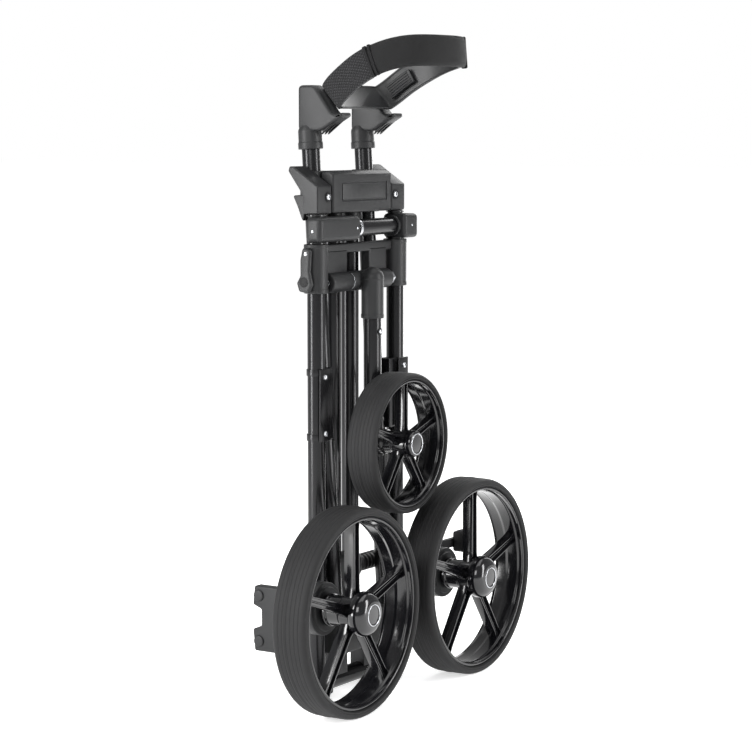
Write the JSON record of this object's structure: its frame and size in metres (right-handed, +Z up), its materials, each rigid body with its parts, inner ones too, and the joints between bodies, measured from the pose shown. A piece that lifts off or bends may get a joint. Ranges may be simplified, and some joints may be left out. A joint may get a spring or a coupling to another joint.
{
  "type": "golf push cart",
  "caption": "Folded push cart with spoked wheels on turning legs, a folding front arm and handle, a bag rest and a strap ring.",
  "frame": {"origin": "middle of the bounding box in plan, on the floor that the wheels and feet stand on", "axes": "+Z up, +X to the cart's right, -Y towards the side the wheel caps face when folded"},
  "size_m": [0.606, 0.287, 0.9312],
  "materials": {
    "tube_black": "black anodised tube, satin to gloss",
    "fitting_grey": "moulded dark grey nylon with a fine grain",
    "wheel_gloss": "gloss black moulded plastic",
    "tyre_rubber": "matte dark foam rubber with fine rings",
    "grip_rubber": "soft black rubber",
    "steel": "zinc plated and brushed",
    "strap_fabric": "black woven webbing"
  },
  "bodies": {
    "frame": {"mast_tube_left": "tube_black", "mast_tube_right": "tube_black", "leg_sleeve_left": "fitting_grey", "leg_sleeve_right": "fitting_grey", "leg_guide_left": "fitting_grey", "leg_guide_right": "fitting_grey", "elbow_left": "fitting_grey", "elbow_right": "fitting_grey", "joint_cover": "fitting_grey", "joint_housing": "fitting_grey", "handle_pivot_pin": "steel", "bar_clamp_block": "fitting_grey", "bar_end_block": "fitting_grey", "cross_bar": "tube_black", "arm_bracket": "fitting_grey", "hinge_bolt": "steel", "base_casting": "fitting_grey", "bottom_crossbar": "tube_black", "foot_left": "grip_rubber", "foot_right": "grip_rubber", "bag_rest_left": "fitting_grey", "bag_rest_right": "fitting_grey", "cradle_ring": "fitting_grey", "cradle_strap": "strap_fabric", "cradle_pad": "strap_fabric", "strap_buckle": "fitting_grey"},
    "left_leg": {"leg_tube_left": "tube_black", "axle_carrier_left": "fitting_grey", "axle_left": "steel"},
    "right_leg": {"leg_tube_right": "tube_black", "axle_carrier_right": "fitting_grey", "axle_right": "steel"},
    "left_brake": {"brake_pedal_left": "grip_rubber"},
    "right_brake": {"brake_pedal_right": "grip_rubber"},
    "left_wheel": {"wheel_left_tyre": "tyre_rubber", "wheel_left_rim": "wheel_gloss", "wheel_left_hub_cap": "wheel_gloss", "wheel_left_brake_drum": "fitting_grey"},
    "right_wheel": {"wheel_right_tyre": "tyre_rubber", "wheel_right_rim": "wheel_gloss", "wheel_right_hub_cap": "wheel_gloss", "wheel_right_brake_drum": "fitting_grey"},
    "handle": {"handle_knuckle": "fitting_grey", "handle_stem_left": "tube_black", "handle_stem_right": "tube_black", "handle_boss": "fitting_grey", "handle_bar": "tube_black", "grip_left": "grip_rubber", "grip_right": "grip_rubber"},
    "front_arm": {"arm_knuckle": "fitting_grey"},
    "front_swivel": {"arm_tube": "tube_black", "front_axle_carrier": "fitting_grey", "front_axle": "steel"},
    "front_button": {"spring_button": "steel"},
    "front_wheel": {"front_wheel_tyre": "tyre_rubber", "front_wheel_rim": "wheel_gloss", "front_wheel_hub_cap": "wheel_gloss"},
    "quick_release": {"quick_release_lever": "fitting_grey"},
    "latch": {"joint_latch": "fitting_grey"}
  },
  "joints": [
    {"name": "left_leg_turn", "type": "hinge", "parent": "frame", "child": "left_leg", "pos_m": [-0.102, 0.01672, 0.4], "axis": [0, 0, 1], "range_deg": [-90, 0]},
    {"name": "right_leg_turn", "type": "hinge", "parent": "frame", "child": "right_leg", "pos_m": [0.102, 0.01672, 0.4], "axis": [0, 0, 1], "range_deg": [0, 90]},
    {"name": "left_brake_press", "type": "hinge", "parent": "left_leg", "child": "left_brake", "pos_m": [-0.158, -0.01228, 0.174], "axis": [0, 1, 0], "range_deg": [-8, 0]},
    {"name": "right_brake_press", "type": "hinge", "parent": "right_leg", "child": "right_brake", "pos_m": [0.158, -0.01228, 0.174], "axis": [0, 1, 0], "range_deg": [0, 8]},
    {"name": "left_wheel_spin", "type": "hinge", "parent": "left_leg", "child": "left_wheel", "pos_m": [-0.158, -0.07328, 0.145], "axis": [0, 1, 0], "continuous": true},
    {"name": "right_wheel_spin", "type": "hinge", "parent": "right_leg", "child": "right_wheel", "pos_m": [0.158, -0.07328, 0.145], "axis": [0, 1, 0], "continuous": true},
    {"name": "handle_fold", "type": "hinge", "parent": "frame", "child": "handle", "pos_m": [0, 0.04372, 0.7], "axis": [1, 0, 0], "range_deg": [0, 150]},
    {"name": "front_arm_fold", "type": "hinge", "parent": "frame", "child": "front_arm", "pos_m": [0, 0.01172, 0.588], "axis": [1, 0, 0], "range_deg": [-80, 0]},
    {"name": "front_wheel_turn", "type": "hinge", "parent": "front_arm", "child": "front_swivel", "pos_m": [0, -0.01028, 0.45], "axis": [0, 0, 1], "range_deg": [0, 90]},
    {"name": "spring_button_push", "type": "slide", "parent": "front_swivel", "child": "front_button", "axis": [0, 1, 0], "range_m": [0, 0.003], "stiffness_N_per_m": 400},
    {"name": "front_wheel_spin", "type": "hinge", "parent": "front_swivel", "child": "front_wheel", "pos_m": [0, -0.05428, 0.3595], "axis": [0, 1, 0], "continuous": true},
    {"name": "quick_release_open", "type": "hinge", "parent": "frame", "child": "quick_release", "pos_m": [-0.122, 0.01672, 0.636], "axis": [0, 1, 0], "range_deg": [0, 60]},
    {"name": "latch_open", "type": "hinge", "parent": "frame", "child": "latch", "pos_m": [-0.096, 0.03522, 0.709], "axis": [1, 0, 0], "range_deg": [0, 25]}
  ],
  "couplings": [
    {"joint": "front_wheel_turn", "follows": "front_arm_fold", "ratio": -1.125}
  ]
}
